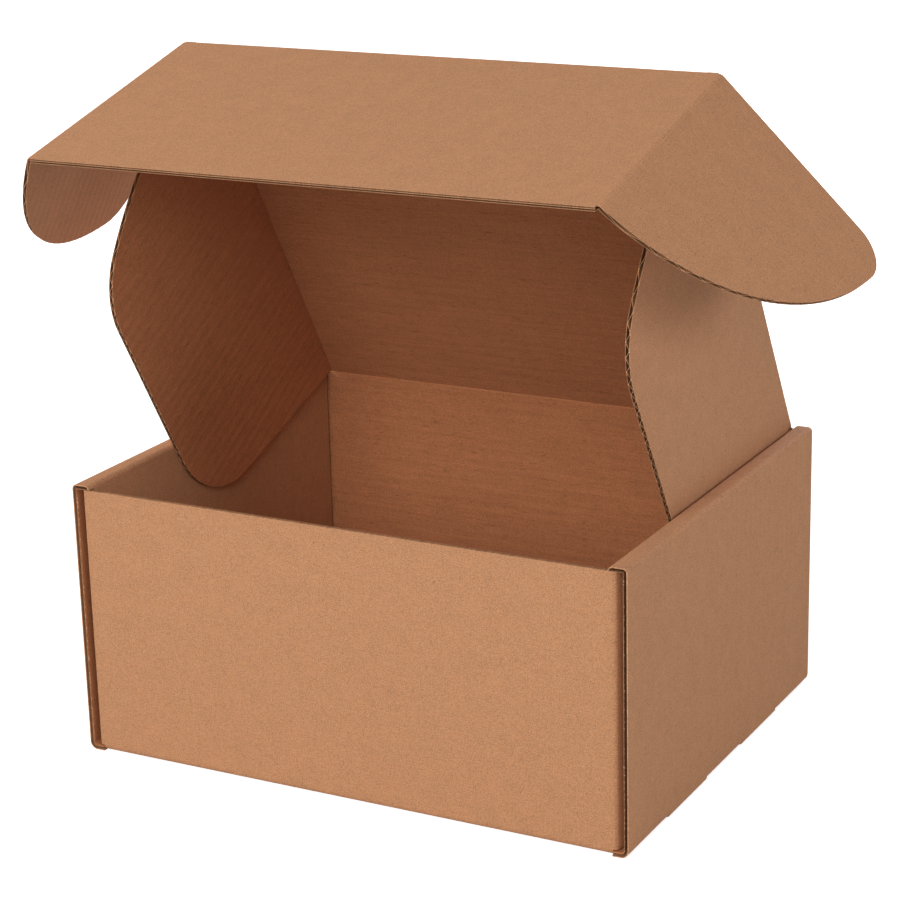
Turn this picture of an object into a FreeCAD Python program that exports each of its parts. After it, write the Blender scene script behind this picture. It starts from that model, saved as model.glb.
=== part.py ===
import FreeCAD, Part
import os
from math import asin, atan2, tau
import Sketcher

# A one-piece mailer box folded from single-wall corrugated board, standing open, in millimetres.
# The front faces -Y, +X is to the right seen from the front, and the origin is the middle of the underside.
# Side walls are double: outer wall, rolled-over top, inner wall, with the corner tabs of the front and back
# walls held between them and the inner walls locked into the floor. The lid hangs on the back wall and
# carries two dust flaps and the front flap, whose ears slide between outer wall and corner tab.

DRIVING_SIZES = [
    ("outer_width", 305, "across the two side walls"),
    ("outer_depth", 238, "front edge to back edge of the side walls"),
    ("wall_height", 144, "underside to the rolled-over tops"),
    ("board", 2.3, "thickness of the corrugated board"),
    ("ear_clearance", 0.25, "play on each side of an ear in its slot"),
    ("layer_gap", 0.2, "air between layers of board that lie on each other"),
    ("crease_gap", 0.3, "air between the two sides of a moving crease"),
    ("crease_ease", 0.05, "a rounded crease is this much thinner than the board, to each side"),
    ("wall_recess", 0.8, "front and back walls behind the edges of the side walls"),
    ("wall_drop", 0.3, "front wall and corner tabs below the rolled-over tops"),
    ("corner_tab_length", 72, "reach of a corner tab along the side wall"),
    ("corner_ease", 1, "the folds of front and back wall end this far inside the corner tabs"),
    ("inner_wall_ease", 1, "inner side walls shorter than the room between front and back wall"),
    ("side_fold_radius", 4, "outside of the folds between floor and side walls"),
    ("end_fold_radius", 3, "outside of the folds of the front and back walls"),
    ("top_fold_radius", 2.2, "outside of the folds of the rolled-over tops and of the dust flaps"),
    ("lock_length", 46, "locking tab along the side wall"),
    ("lock_place", 47, "middle of a locking tab, from the middle of the box"),
    ("lid_clearance", 0.8, "play between a dust flap and the inner wall"),
    ("lid_opening", 59.8, "angle of the lid from closed"),
    ("front_flap_fold", 74.5, "angle of the front flap from straight"),
    ("front_flap_short", 1.2, "front flap shorter than the walls are high"),
    ("left_ear_fold", 58, "angle of the left ear from flat"),
    ("right_ear_fold", 50, "angle of the right ear from flat"),
    ("ear_top_drop", 1.2, "top edge of an ear below the front crease"),
    ("ear_arc_radius", 138, "the long curved edge of an ear"),
    ("ear_arc_drop", 5, "centre of that arc below the front crease"),
    ("ear_arc_inset", 22, "centre of that arc inside the crease of the ear"),
    ("ear_tip_radius", 18, "the outer top corner of an ear"),
    ("dust_floor_gap", 2, "closed dust flap above the floor"),
    ("dust_front_gap", 0.6, "closing dust flap behind the front wall"),
    ("dust_rear_gap", 0.6, "closed dust flap in front of the back wall"),
    ("dust_rear_lean", 26.6, "its rear far corner in front of the foot of its rear edge"),
    ("dust_front_radius", 40, "its front far corner"),
    ("dust_rear_radius", 50, "its rear far corner"),
]

LEFT, RIGHT = -1, 1
FRONT, REAR = -1, 1

# The layers of a side wall, from outside in, as distances from the middle of the box.
OUTER_FACE = "(Sizes.outer_width / 2)"
OUTER_INSIDE = f"({OUTER_FACE} - Sizes.board)"
TAB_OUTSIDE = f"({OUTER_INSIDE} - Sizes.board - 2 * Sizes.ear_clearance)"
TAB_INSIDE = f"({TAB_OUTSIDE} - Sizes.board)"
INNER_OUTSIDE = f"({TAB_INSIDE} - Sizes.layer_gap)"
INNER_INSIDE = f"({INNER_OUTSIDE} - Sizes.board)"
FOLD_END = f"({TAB_INSIDE} - Sizes.corner_ease)"

# Front and back walls, and the heights of the layers.
END_FACE = "(Sizes.outer_depth / 2 - Sizes.wall_recess)"
END_INSIDE = f"({END_FACE} - Sizes.board)"
END_TOP = "(Sizes.wall_height - Sizes.board - Sizes.wall_drop)"
TAB_BOTTOM = "(Sizes.board + Sizes.layer_gap)"
CREASE_RADIUS = "(Sizes.board / 2 - Sizes.crease_ease)"
CREASE_REACH = "(Sizes.board / 2 + Sizes.crease_gap)"

# Crease lines and edges of the moving board, each in the frame of the panel that carries it.
HINGE_Y = f"({END_FACE} - Sizes.board / 2)"
HINGE_Z = "Sizes.wall_height"
LID_HALF = f"({INNER_INSIDE} - Sizes.lid_clearance)"
LID_LENGTH = f"({HINGE_Y} + {END_FACE} + {CREASE_REACH})"
EAR_CREASE = f"({TAB_OUTSIDE} + Sizes.ear_clearance + Sizes.board / 2)"
FLAP_HALF = f"({EAR_CREASE} - {CREASE_REACH})"
FLAP_LENGTH = "(Sizes.wall_height - Sizes.front_flap_short)"
EAR_REACH = (
    "(sqrt(Sizes.ear_arc_radius ^ 2 - (Sizes.ear_arc_drop - Sizes.ear_top_drop) ^ 2)"
    " - Sizes.ear_arc_inset)"
)
EAR_FOOT = "(sqrt(Sizes.ear_arc_radius ^ 2 - Sizes.ear_arc_inset ^ 2) + Sizes.ear_arc_drop)"
DUST_FOOT = "(Sizes.board / 2 + Sizes.dust_rear_gap)"
DUST_REAR = f"({DUST_FOOT} + Sizes.dust_rear_lean)"
DUST_FAR = "(Sizes.wall_height - Sizes.board - Sizes.dust_floor_gap)"
DUST_SWING = f"({HINGE_Y} + {END_INSIDE} - Sizes.dust_front_gap)"
DUST_FRONT = f"sqrt({DUST_SWING} ^ 2 - {DUST_FAR} ^ 2)"

os.makedirs("parts", exist_ok=True)
doc = FreeCAD.newDocument("mailer_box")
sheet = doc.addObject("Spreadsheet::Sheet", "Sizes")
for row, (alias, value, meaning) in enumerate(DRIVING_SIZES, 1):
    sheet.set(f"A{row}", str(value))
    sheet.setAlias(f"A{row}", alias)
    sheet.set(f"B{row}", meaning)
doc.recompute()


def number(expression):
    return float(sheet.evalExpression(expression))


def both(expression):
    """The two mirrored values of an expression."""
    return [f"-1 * {expression}", expression]


def new_body(label):
    body = doc.addObject("PartDesign::Body", label)
    body.Label = label
    return body


def new_sketch(body, name, role, offset="0"):
    """A sketch on one of the body's own origin planes, moved along the normal of that plane."""
    sketch = body.newObject("Sketcher::SketchObject", name)
    plane = next(feature for feature in body.Origin.OriginFeatures if feature.Role == role)
    sketch.AttachmentSupport = [(plane, "")]
    sketch.MapMode = "FlatFace"
    sketch.setExpression("AttachmentOffset.Base.z", offset)
    return sketch


def hold(sketch, kind, places, expression):
    """A dimension of the sketch that follows an expression."""
    index = sketch.addConstraint(Sketcher.Constraint(kind, *places, number(expression)))
    sketch.setExpression(f"Constraints[{index}]", expression)


def hold_point(sketch, piece, end, corner):
    hold(sketch, "DistanceX", (-1, 1, piece, end), corner[0])
    hold(sketch, "DistanceY", (-1, 1, piece, end), corner[1])


def add_line(sketch, start, end):
    start_point = FreeCAD.Vector(number(start[0]), number(start[1]), 0)
    end_point = FreeCAD.Vector(number(end[0]), number(end[1]), 0)
    return sketch.addGeometry(Part.LineSegment(start_point, end_point))


def add_arc(sketch, centre, radius, first, last):
    """An arc turning left from the first angle to the last, in radians."""
    middle = FreeCAD.Vector(number(centre[0]), number(centre[1]), 0)
    circle = Part.Circle(middle, FreeCAD.Vector(0, 0, 1), number(radius))
    arc = sketch.addGeometry(Part.ArcOfCircle(circle, first, last))
    hold_point(sketch, arc, 3, centre)
    hold(sketch, "Radius", (arc,), radius)
    return arc


def join(sketch, chain):
    """Closes a chain of pieces, each given with the numbers of its first and last point."""
    for (piece, _, last), (following, first, _) in zip(chain, chain[1:] + chain[:1]):
        sketch.addConstraint(Sketcher.Constraint("Coincident", piece, last, following, first))


def draw_polygon(sketch, corners):
    """A closed outline whose corners follow pairs of expressions."""
    lines = [add_line(sketch, start, end) for start, end in zip(corners, corners[1:] + corners[:1])]
    join(sketch, [(line, 1, 2) for line in lines])
    for line, corner in zip(lines, corners):
        hold_point(sketch, line, 1, corner)


def draw_rectangle(sketch, x_ends, y_ends):
    (left, right), (low, high) = x_ends, y_ends
    draw_polygon(sketch, [(left, low), (right, low), (right, high), (left, high)])


def pad(body, name, sketch, length, both_ways=False):
    feature = body.newObject("PartDesign::Pad", name)
    feature.Profile = sketch
    feature.Midplane = both_ways
    feature.setExpression("Length", length)
    doc.recompute()


def pad_crease(body, role, offset, length):
    """The rounded edge of a panel, about its crease line."""
    sketch = new_sketch(body, f"{body.Label}_crease_section", role, offset)
    centre, up = FreeCAD.Vector(0, 0, 0), FreeCAD.Vector(0, 0, 1)
    circle = sketch.addGeometry(Part.Circle(centre, up, number(CREASE_RADIUS)))
    sketch.addConstraint(Sketcher.Constraint("Coincident", circle, 3, -1, 1))
    hold(sketch, "Radius", (circle,), CREASE_RADIUS)
    pad(body, f"{body.Label}_crease", sketch, length, both_ways=True)


def edges_along(shape, axis, places):
    """Names of the straight edges along an axis, at places given by the other two coordinates."""
    across = [k for k in range(3) if k != "xyz".index(axis)]
    names = []
    for index, edge in enumerate(shape.Edges, 1):
        ends = [[vertex.Point[k] for k in across] for vertex in (edge.Vertexes[0], edge.Vertexes[-1])]
        for place in places:
            if all(abs(end[k] - place[k]) < 1e-4 for end in ends for k in (0, 1)):
                names.append(f"Edge{index}")
    return names


def round_edges(body, name, axis, places, radius):
    """Rounds the edges along an axis that lie at the places, each a pair of expressions."""
    spots = [(number(a), number(b)) for a, b in places]
    base = body.Tip
    names = edges_along(base.Shape, axis, spots)
    if len(names) < len(spots):
        raise RuntimeError(f"{body.Label}: {name} finds {len(names)} edges for {len(spots)} places")
    feature = body.newObject("PartDesign::Fillet", name)
    feature.Base = (base, names)
    feature.setExpression("Radius", radius)
    doc.recompute()


def tray_floor_and_ends(body):
    """Floor, front wall and back wall: one strip, folded twice."""
    sketch = new_sketch(body, "end_section", "YZ_Plane")
    outline = [
        (f"-1 * {END_FACE}", END_TOP),
        (f"-1 * {END_FACE}", "0"),
        (END_FACE, "0"),
        (END_FACE, END_TOP),
        (END_INSIDE, END_TOP),
        (END_INSIDE, "Sizes.board"),
        (f"-1 * {END_INSIDE}", "Sizes.board"),
        (f"-1 * {END_INSIDE}", END_TOP),
    ]
    draw_polygon(sketch, outline)
    pad(body, "floor_and_ends", sketch, f"2 * {FOLD_END}", both_ways=True)
    round_edges(body, "end_folds", "x", [(y, "0") for y in both(END_FACE)], "Sizes.end_fold_radius")
    inside = [(y, "Sizes.board") for y in both(END_INSIDE)]
    round_edges(body, "end_folds_inside", "x", inside, "Sizes.end_fold_radius - Sizes.board")


def tray_corner_tabs(body):
    """Front and back wall go round their corners into tabs that lie inside the side walls."""
    sketch = new_sketch(body, "corner_plan", "XY_Plane", TAB_BOTTOM)
    for end in (FRONT, REAR):
        face, inside = f"{end} * {END_FACE}", f"{end} * {END_INSIDE}"
        tab_end = f"{end} * ({END_FACE} - Sizes.corner_tab_length)"
        right_tab = [(TAB_OUTSIDE, tab_end), (TAB_INSIDE, tab_end), (TAB_INSIDE, inside)]
        left_tab = [(f"-1 * {x}", y) for x, y in reversed(right_tab)]
        draw_polygon(sketch, [(x, face) for x in both(TAB_OUTSIDE)] + right_tab + left_tab)
    pad(body, "corner_tabs", sketch, f"{END_TOP} - {TAB_BOTTOM}")
    outside = [(x, y) for x in both(TAB_OUTSIDE) for y in both(END_FACE)]
    round_edges(body, "corner_folds", "z", outside, "Sizes.end_fold_radius")
    inside = [(x, y) for x in both(TAB_INSIDE) for y in both(END_INSIDE)]
    round_edges(body, "corner_folds_inside", "z", inside, "Sizes.end_fold_radius - Sizes.board")


def tray_outer_sides(body):
    """Outer side walls and rolled-over tops, with the margins of the floor that carry them."""
    sketch = new_sketch(body, "side_section", "XZ_Plane")
    under_top = "(Sizes.wall_height - Sizes.board)"
    outline = [
        (FOLD_END, "0"),
        (OUTER_FACE, "0"),
        (OUTER_FACE, "Sizes.wall_height"),
        (INNER_INSIDE, "Sizes.wall_height"),
        (INNER_INSIDE, under_top),
        (OUTER_INSIDE, under_top),
        (OUTER_INSIDE, "Sizes.board"),
        (FOLD_END, "Sizes.board"),
    ]
    for side in (LEFT, RIGHT):
        draw_polygon(sketch, [(f"{side} * {x}", z) for x, z in outline])
    pad(body, "outer_sides", sketch, "Sizes.outer_depth", both_ways=True)
    low = [(x, "0") for x in both(OUTER_FACE)]
    round_edges(body, "side_folds", "y", low, "Sizes.side_fold_radius")
    inside = [(x, "Sizes.board") for x in both(OUTER_INSIDE)]
    round_edges(body, "side_folds_inside", "y", inside, "Sizes.side_fold_radius - Sizes.board")
    top = [(x, "Sizes.wall_height") for x in both(OUTER_FACE)]
    round_edges(body, "outer_top_folds", "y", top, "Sizes.top_fold_radius")


def lock_zones(ease):
    """Where the locking tabs lie along the side wall, front and rear, each widened by an ease."""
    half = f"(Sizes.lock_length / 2 + {ease})"
    middles = [f"{end} * Sizes.lock_place" for end in (FRONT, REAR)]
    return [(f"{middle} - {half}", f"{middle} + {half}") for middle in middles]


def tray_lock_slots(body):
    """Slots in the floor for the locking tabs of the inner walls."""
    sketch = new_sketch(body, "lock_slot_plan", "XY_Plane")
    for side in (LEFT, RIGHT):
        near = f"{side} * ({INNER_INSIDE} - Sizes.layer_gap)"
        far = f"{side} * ({INNER_OUTSIDE} + Sizes.layer_gap)"
        for zone in lock_zones("Sizes.layer_gap"):
            draw_rectangle(sketch, (near, far), zone)
    before = body.Tip.Shape.Volume
    slots = body.newObject("PartDesign::Pocket", "lock_slots")
    slots.Profile = sketch
    slots.Reversed = True
    slots.setExpression("Length", "Sizes.board")
    doc.recompute()
    if slots.Shape.Volume >= before:
        raise RuntimeError("the lock slots cut nothing")


def tray_inner_sides(body):
    """Inner walls down from the rolled-over tops, with locking tabs into the floor."""
    walls = new_sketch(body, "inner_wall_plan", "XY_Plane", TAB_BOTTOM)
    tabs = new_sketch(body, "lock_tab_plan", "XY_Plane", "Sizes.layer_gap")
    wall_end = f"({END_INSIDE} - Sizes.inner_wall_ease)"
    for side in (LEFT, RIGHT):
        faces = (f"{side} * {INNER_INSIDE}", f"{side} * {INNER_OUTSIDE}")
        draw_rectangle(walls, faces, both(wall_end))
        for zone in lock_zones("0"):
            draw_rectangle(tabs, faces, zone)
    pad(body, "inner_walls", walls, f"Sizes.wall_height - Sizes.board / 2 - {TAB_BOTTOM}")
    pad(body, "lock_tabs", tabs, TAB_BOTTOM)
    top = [(x, "Sizes.wall_height") for x in both(INNER_INSIDE)]
    round_edges(body, "inner_top_folds", "y", top, "Sizes.top_fold_radius")


def tray_lock_feet(body):
    """Beside a slot the outer wall stands on a cut edge instead of a fold, so its corner is square."""
    start = f"({OUTER_FACE} - Sizes.side_fold_radius)"
    outline = [
        (start, "0"),
        (OUTER_FACE, "0"),
        (OUTER_FACE, "Sizes.side_fold_radius"),
        (OUTER_INSIDE, "Sizes.side_fold_radius"),
        (OUTER_INSIDE, "Sizes.board"),
        (start, "Sizes.board"),
    ]
    for end, name in ((FRONT, "front_feet"), (REAR, "rear_feet")):
        sketch = new_sketch(body, f"{name}_section", "XZ_Plane", f"{-end} * Sizes.lock_place")
        for side in (LEFT, RIGHT):
            draw_polygon(sketch, [(f"{side} * {x}", z) for x, z in outline])
        pad(body, name, sketch, "Sizes.lock_length", both_ways=True)


def tray_hinge_edge(body):
    """Between the rolled-over tops the back wall goes on up to the crease of the lid."""
    start = f"({END_TOP} - Sizes.board)"
    sketch = new_sketch(body, "hinge_edge_plan", "XY_Plane", start)
    draw_rectangle(sketch, both(LID_HALF), (END_INSIDE, END_FACE))
    pad(body, "hinge_edge", sketch, f"{HINGE_Z} - {CREASE_REACH} - {start}")


def make_tray():
    body = new_body("tray")
    tray_floor_and_ends(body)
    tray_corner_tabs(body)
    tray_outer_sides(body)
    tray_lock_slots(body)
    tray_inner_sides(body)
    tray_lock_feet(body)
    tray_hinge_edge(body)


def pad_panel(body, half_width, length):
    """A flat panel that runs along +Y from its crease line, the X axis of the body."""
    sketch = new_sketch(body, f"{body.Label}_outline", "XY_Plane")
    draw_rectangle(sketch, both(half_width), ("0", length))
    pad(body, f"{body.Label}_board", sketch, "Sizes.board", both_ways=True)
    pad_crease(body, "YZ_Plane", "0", f"2 * ({half_width} - Sizes.end_fold_radius)")


def make_lid_panel():
    """The lid between its creases, its own +Z towards the inside of the box."""
    body = new_body("lid_panel")
    pad_panel(body, LID_HALF, f"({LID_LENGTH} - {CREASE_REACH})")
    sides = [(x, "-1 * Sizes.board / 2") for x in both(LID_HALF)]
    round_edges(body, "dust_flap_folds", "y", sides, "Sizes.top_fold_radius")
    turn = "rotation(vector(1; 0; 0); 180 - Sizes.lid_opening)"
    body.setExpression("Placement", f"placement(vector(0; {HINGE_Y}; {HINGE_Z}); {turn})")


def make_front_flap():
    """Hangs in front of the front wall when closed, as wide as the slots for its ears are apart."""
    body = new_body("front_flap")
    pad_panel(body, FLAP_HALF, FLAP_LENGTH)
    turn = "rotation(vector(1; 0; 0); Sizes.front_flap_fold)"
    step = f"placement(vector(0; {LID_LENGTH}; 0); {turn})"
    body.setExpression("Placement", f"lid_panel.Placement * {step}")


def make_ear(label, side, fold):
    """An ear at the end of the front flap: straight top edge, round tip and one long arc."""
    body = new_body(label)
    sketch = new_sketch(body, f"{label}_outline", "XY_Plane")
    centre = (f"{-side} * Sizes.ear_arc_inset", "Sizes.ear_arc_drop")
    root, tip = ("0", "Sizes.ear_top_drop"), (f"{side} * {EAR_REACH}", "Sizes.ear_top_drop")
    foot = ("0", EAR_FOOT)
    turns = []
    for corner in (tip, foot):
        across, along = (number(corner[k]) - number(centre[k]) for k in (0, 1))
        turns.append(atan2(along, across) % tau)
    first, last = turns if side == RIGHT else reversed(turns)
    top = add_line(sketch, root, tip)
    arc = add_arc(sketch, centre, "Sizes.ear_arc_radius", first, last if last > first else last + tau)
    crease = add_line(sketch, foot, root)
    arc_ends = (1, 2) if side == RIGHT else (2, 1)
    join(sketch, [(top, 1, 2), (arc, *arc_ends), (crease, 1, 2)])
    hold_point(sketch, top, 1, root)
    sketch.addConstraint(Sketcher.Constraint("Horizontal", top))
    sketch.addConstraint(Sketcher.Constraint("Vertical", crease))
    pad(body, f"{label}_board", sketch, "Sizes.board", both_ways=True)
    round_edges(body, f"{label}_tip", "z", [tip], "Sizes.ear_tip_radius")
    middle = f"-1 * ({EAR_FOOT} + Sizes.ear_top_drop) / 2"
    pad_crease(body, "XZ_Plane", middle, f"{EAR_FOOT} - Sizes.ear_top_drop - 2 * Sizes.crease_gap")
    turn = f"rotation(vector(0; 1; 0); {-side} * Sizes.{fold})"
    step = f"placement(vector({side} * {EAR_CREASE}; 0; 0); {turn})"
    body.setExpression("Placement", f"front_flap.Placement * {step}")


def make_dust_flap(label, side):
    """A dust flap at the side of the lid: its front edge is an arc about the crease of the lid."""
    body = new_body(label)
    low_face = f"({LID_HALF} - Sizes.board)" if side == RIGHT else f"-1 * {LID_HALF}"
    sketch = new_sketch(body, f"{label}_outline", "YZ_Plane", low_face)
    rear_foot, rear_far = (DUST_FOOT, CREASE_REACH), (DUST_REAR, DUST_FAR)
    front_foot, front_far = (DUST_SWING, CREASE_REACH), (DUST_FRONT, DUST_FAR)
    foot_turn = asin(number(CREASE_REACH) / number(DUST_SWING))
    far_turn = asin(number(DUST_FAR) / number(DUST_SWING))
    foot = add_line(sketch, rear_foot, front_foot)
    front = add_arc(sketch, ("0", "0"), DUST_SWING, foot_turn, far_turn)
    far = add_line(sketch, front_far, rear_far)
    rear = add_line(sketch, rear_far, rear_foot)
    join(sketch, [(foot, 1, 2), (front, 1, 2), (far, 1, 2), (rear, 1, 2)])
    hold_point(sketch, foot, 1, rear_foot)
    hold_point(sketch, rear, 1, rear_far)
    sketch.addConstraint(Sketcher.Constraint("Horizontal", foot))
    sketch.addConstraint(Sketcher.Constraint("Horizontal", far))
    pad(body, f"{label}_board", sketch, "Sizes.board")
    round_edges(body, f"{label}_front_corner", "x", [front_far], "Sizes.dust_front_radius")
    round_edges(body, f"{label}_rear_corner", "x", [rear_far], "Sizes.dust_rear_radius")
    body.setExpression("Placement", "lid_panel.Placement")


make_tray()
make_lid_panel()
make_front_flap()
make_ear("left_ear", LEFT, "left_ear_fold")
make_ear("right_ear", RIGHT, "right_ear_fold")
make_dust_flap("left_dust_flap", LEFT)
make_dust_flap("right_dust_flap", RIGHT)
doc.recompute()

for item in doc.Objects:
    if "Invalid" in item.State or "Error" in item.State:
        raise RuntimeError(f"{item.Name} is in error")
for body in (item for item in doc.Objects if item.isDerivedFrom("PartDesign::Body")):
    if body.Shape.isNull() or not body.Shape.isValid() or len(body.Shape.Solids) != 1:
        raise RuntimeError(f"{body.Label} is not one sound solid")
    body.Shape.exportStep(f"parts/{body.Label}.step")
    box = body.Shape.BoundBox
    ends = [round(value, 2) for value in (box.XMin, box.XMax, box.YMin, box.YMax, box.ZMin, box.ZMax)]
    print(body.Label, round(body.Shape.Volume), ends)
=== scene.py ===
"""Kraft mailer box of corrugated board: liners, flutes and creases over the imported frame."""

from math import atan2, cos, pi, radians, sin, tan

import bpy
import numpy as np
from mathutils import Matrix, Vector


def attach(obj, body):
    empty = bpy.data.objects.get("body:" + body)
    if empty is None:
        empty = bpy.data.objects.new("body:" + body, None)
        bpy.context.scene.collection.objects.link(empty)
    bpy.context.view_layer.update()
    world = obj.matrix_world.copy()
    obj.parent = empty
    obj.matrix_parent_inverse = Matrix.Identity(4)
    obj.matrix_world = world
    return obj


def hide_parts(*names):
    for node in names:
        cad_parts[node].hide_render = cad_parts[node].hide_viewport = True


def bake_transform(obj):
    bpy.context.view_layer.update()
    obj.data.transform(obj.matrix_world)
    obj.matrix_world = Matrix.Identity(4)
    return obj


bl_info = {
    "name": "Corrugated mailer box",
    "version": (1, 0, 0),
    "blender": (4, 5, 0),
    "location": "3D View > Sidebar > Mailer Box",
    "description": "Builds a mailer box from corrugated board, with its creases, and the stage around it",
    "category": "Object",
}

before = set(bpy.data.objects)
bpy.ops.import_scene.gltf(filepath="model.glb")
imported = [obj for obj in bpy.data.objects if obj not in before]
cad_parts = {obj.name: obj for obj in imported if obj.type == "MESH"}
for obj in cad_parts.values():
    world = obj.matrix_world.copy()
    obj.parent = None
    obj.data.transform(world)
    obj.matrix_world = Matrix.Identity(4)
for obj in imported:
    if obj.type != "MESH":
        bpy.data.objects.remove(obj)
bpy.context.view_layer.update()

MM = 0.001
# Papers of the board; the hollow paper is painted shade, a dark colour for the shadow deep in the flutes.
OUTSIDE, HOLLOW_SHADE, INSIDE_AND_BOUNCE, CUT = range(4)

# Places in the folded box, in millimetres, all on the middle of the board unless they say otherwise.
WALL_X = 151.35  # outer side walls
TAB_X = 146.25  # corner tabs
INNER_X = 143.75  # inner side walls
END_Y = 117.05  # front and back wall
SIDE_EDGE_Y = 119.0  # cut ends of the outer side walls
INNER_WALL_Y = 114.3  # cut ends of the inner side walls
FLOOR_Z = 1.15  # floor of the box
END_TOP = 141.4  # cut top of the front wall and the corner tabs
HINGE_Z = 144.0  # crease between back wall and lid
ROOF_Z = 142.85  # rolled-over tops of the side walls
TAB_END_Y = 46.2  # cut ends of the corner tabs
FOLD_END_X = 144.1  # where front and back wall go on as corner tabs
SLOT_X = (142.4, 145.1)  # sides of the slots in the floor
LOCK_Y, LOCK_HALF = 47.0, 23.0  # locking tabs: their middle and half their width
LOCK_EASE = 0.2  # their play in the slots
TAB_BOTTOM = 2.5  # lower edge of the inner side walls
LOCK_BOTTOM = 0.2  # lower edge of the locking tabs
END_PHASE = 2.5  # shift of the flutes in front and back wall
TUFT_SPAN = (4.5, 140.5)  # foot and top of the rows of tufts

# Places on the lid, out from its hinge and to its sides, in millimetres.
LID_LENGTH = 236.7  # from the hinge to the crease of the front flap
LID_EDGE_X = 141.8  # sides of the lid where it has no dust flap
HINGE_END_X = 140.9  # right end of the hinge's crease
DUST_X = 140.65  # creases of the dust flaps
DUST_SPAN = (2.4, 232.34)  # ends of those creases
DUST_MARKS = (231.9, 232.1, 232.25, 232.31)  # places where the flap's outline turns fast
FLAP_SPAN = (0.3, 142.8)  # front flap, out from its crease
EAR_X = 148.8  # creases of the ears
EAR_SPAN = (1.2, 140.9)  # ends of those creases
EAR_MARKS = (1.3, 1.6, 2.2, 140.7)  # places where the ear's outline turns fast
CREASE, CREASE_LAND = 1.2, 0.3  # reach of a crease to each side, and how far it goes on over its panels
LID_OPENING, FLAP_FOLD, LEFT_EAR_FOLD, RIGHT_EAR_FOLD = 59.8, 74.5, 58.0, 50.0  # degrees, as in the photo

# Radii of the folds that stay folded, on the middle of the board, and the front corner on the right, which
# bulges.
END_FOLD = 1.85
SIDE_FOLD = 2.85
TIGHT_FOLD = 1.2
BULGING_CORNER, BULGING_FOLDS = ((145.3, -END_Y), (TAB_X, -112.0)), (1.15, 3.0)

# How fine the meshes are: places to a flute, the least distance to a fixed place, points across a rounded
# panel, and the angle in degrees above which an edge is sharp. Then the play of comparisons, and what turns
# millimetres on the flat blank into texture places.
FLUTE_STEPS = 12
NEAREST = 0.12
PANEL_POINTS = 9
SHARP = 40
SLACK = 1e-6
BLANK_TO_UV = 0.01

# Outline of a dust flap, along its crease and out from it: its leaning rear edge as start and slope, its
# round parts as centre and radius, and where each part ends. Then the two round parts of an ear.
DUST_REAR = (1.75, 1.45, 138.25 / 26.6)
DUST_REAR_CORNER = (69.64, 89.7, 50.0)
DUST_DEPTH = 139.7
DUST_FRONT_CORNER = (164.49, 99.7, 40.0)
DUST_ARC = (0.0, 0.0, 232.35)
DUST_PARTS = (20.55, 69.64, 164.49, 198.7)
EAR_TIP, EAR_TIP_END = (19.2, 97.157, 18.0), 21.33
EAR_ARC = (5.0, -22.0, 138.0)

# Lamps about the box: azimuth from the front towards +X and elevation, in degrees, the share of the light,
# and the colour. They all have the same distance and size and point at the middle of the box, in metres.
WHITE = (1.0, 1.0, 1.0)
LAMPS = (
    ("key", 15, 30, 0.142, WHITE),
    ("front", -8, 22, 0.126, WHITE),
    ("front_right", 35, 15, 0.046, WHITE),
    ("right", 84, 18, 0.12, (0.97, 0.99, 1.07)),
    ("top", -70, 58, 0.05, WHITE),
    ("left", -75, 22, 0.245, WHITE),
    ("back", 180, 15, 0.30, WHITE),
)
LAMP_DISTANCE, LAMP_SIZE = 2.6, 1.0
BOX_MIDDLE = (0.0, 0.0, 0.15)

# The floor: half its width and how far it lies below the box, in metres.
FLOOR_HALF, FLOOR_DROP = 6.0, 0.3 * MM

# The camera: place in metres, turn from the front towards +X, rise and roll in degrees, lens in millimetres
# and shift.
CAMERA_PLACE = (0.5957, -1.1021, 0.5391)
CAMERA_TURN, CAMERA_RISE, CAMERA_ROLL = 27.49, 17.42, -1.2
CAMERA_LENS, CAMERA_SHIFT = 102.05, (-0.0443, 0.0004)


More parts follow.
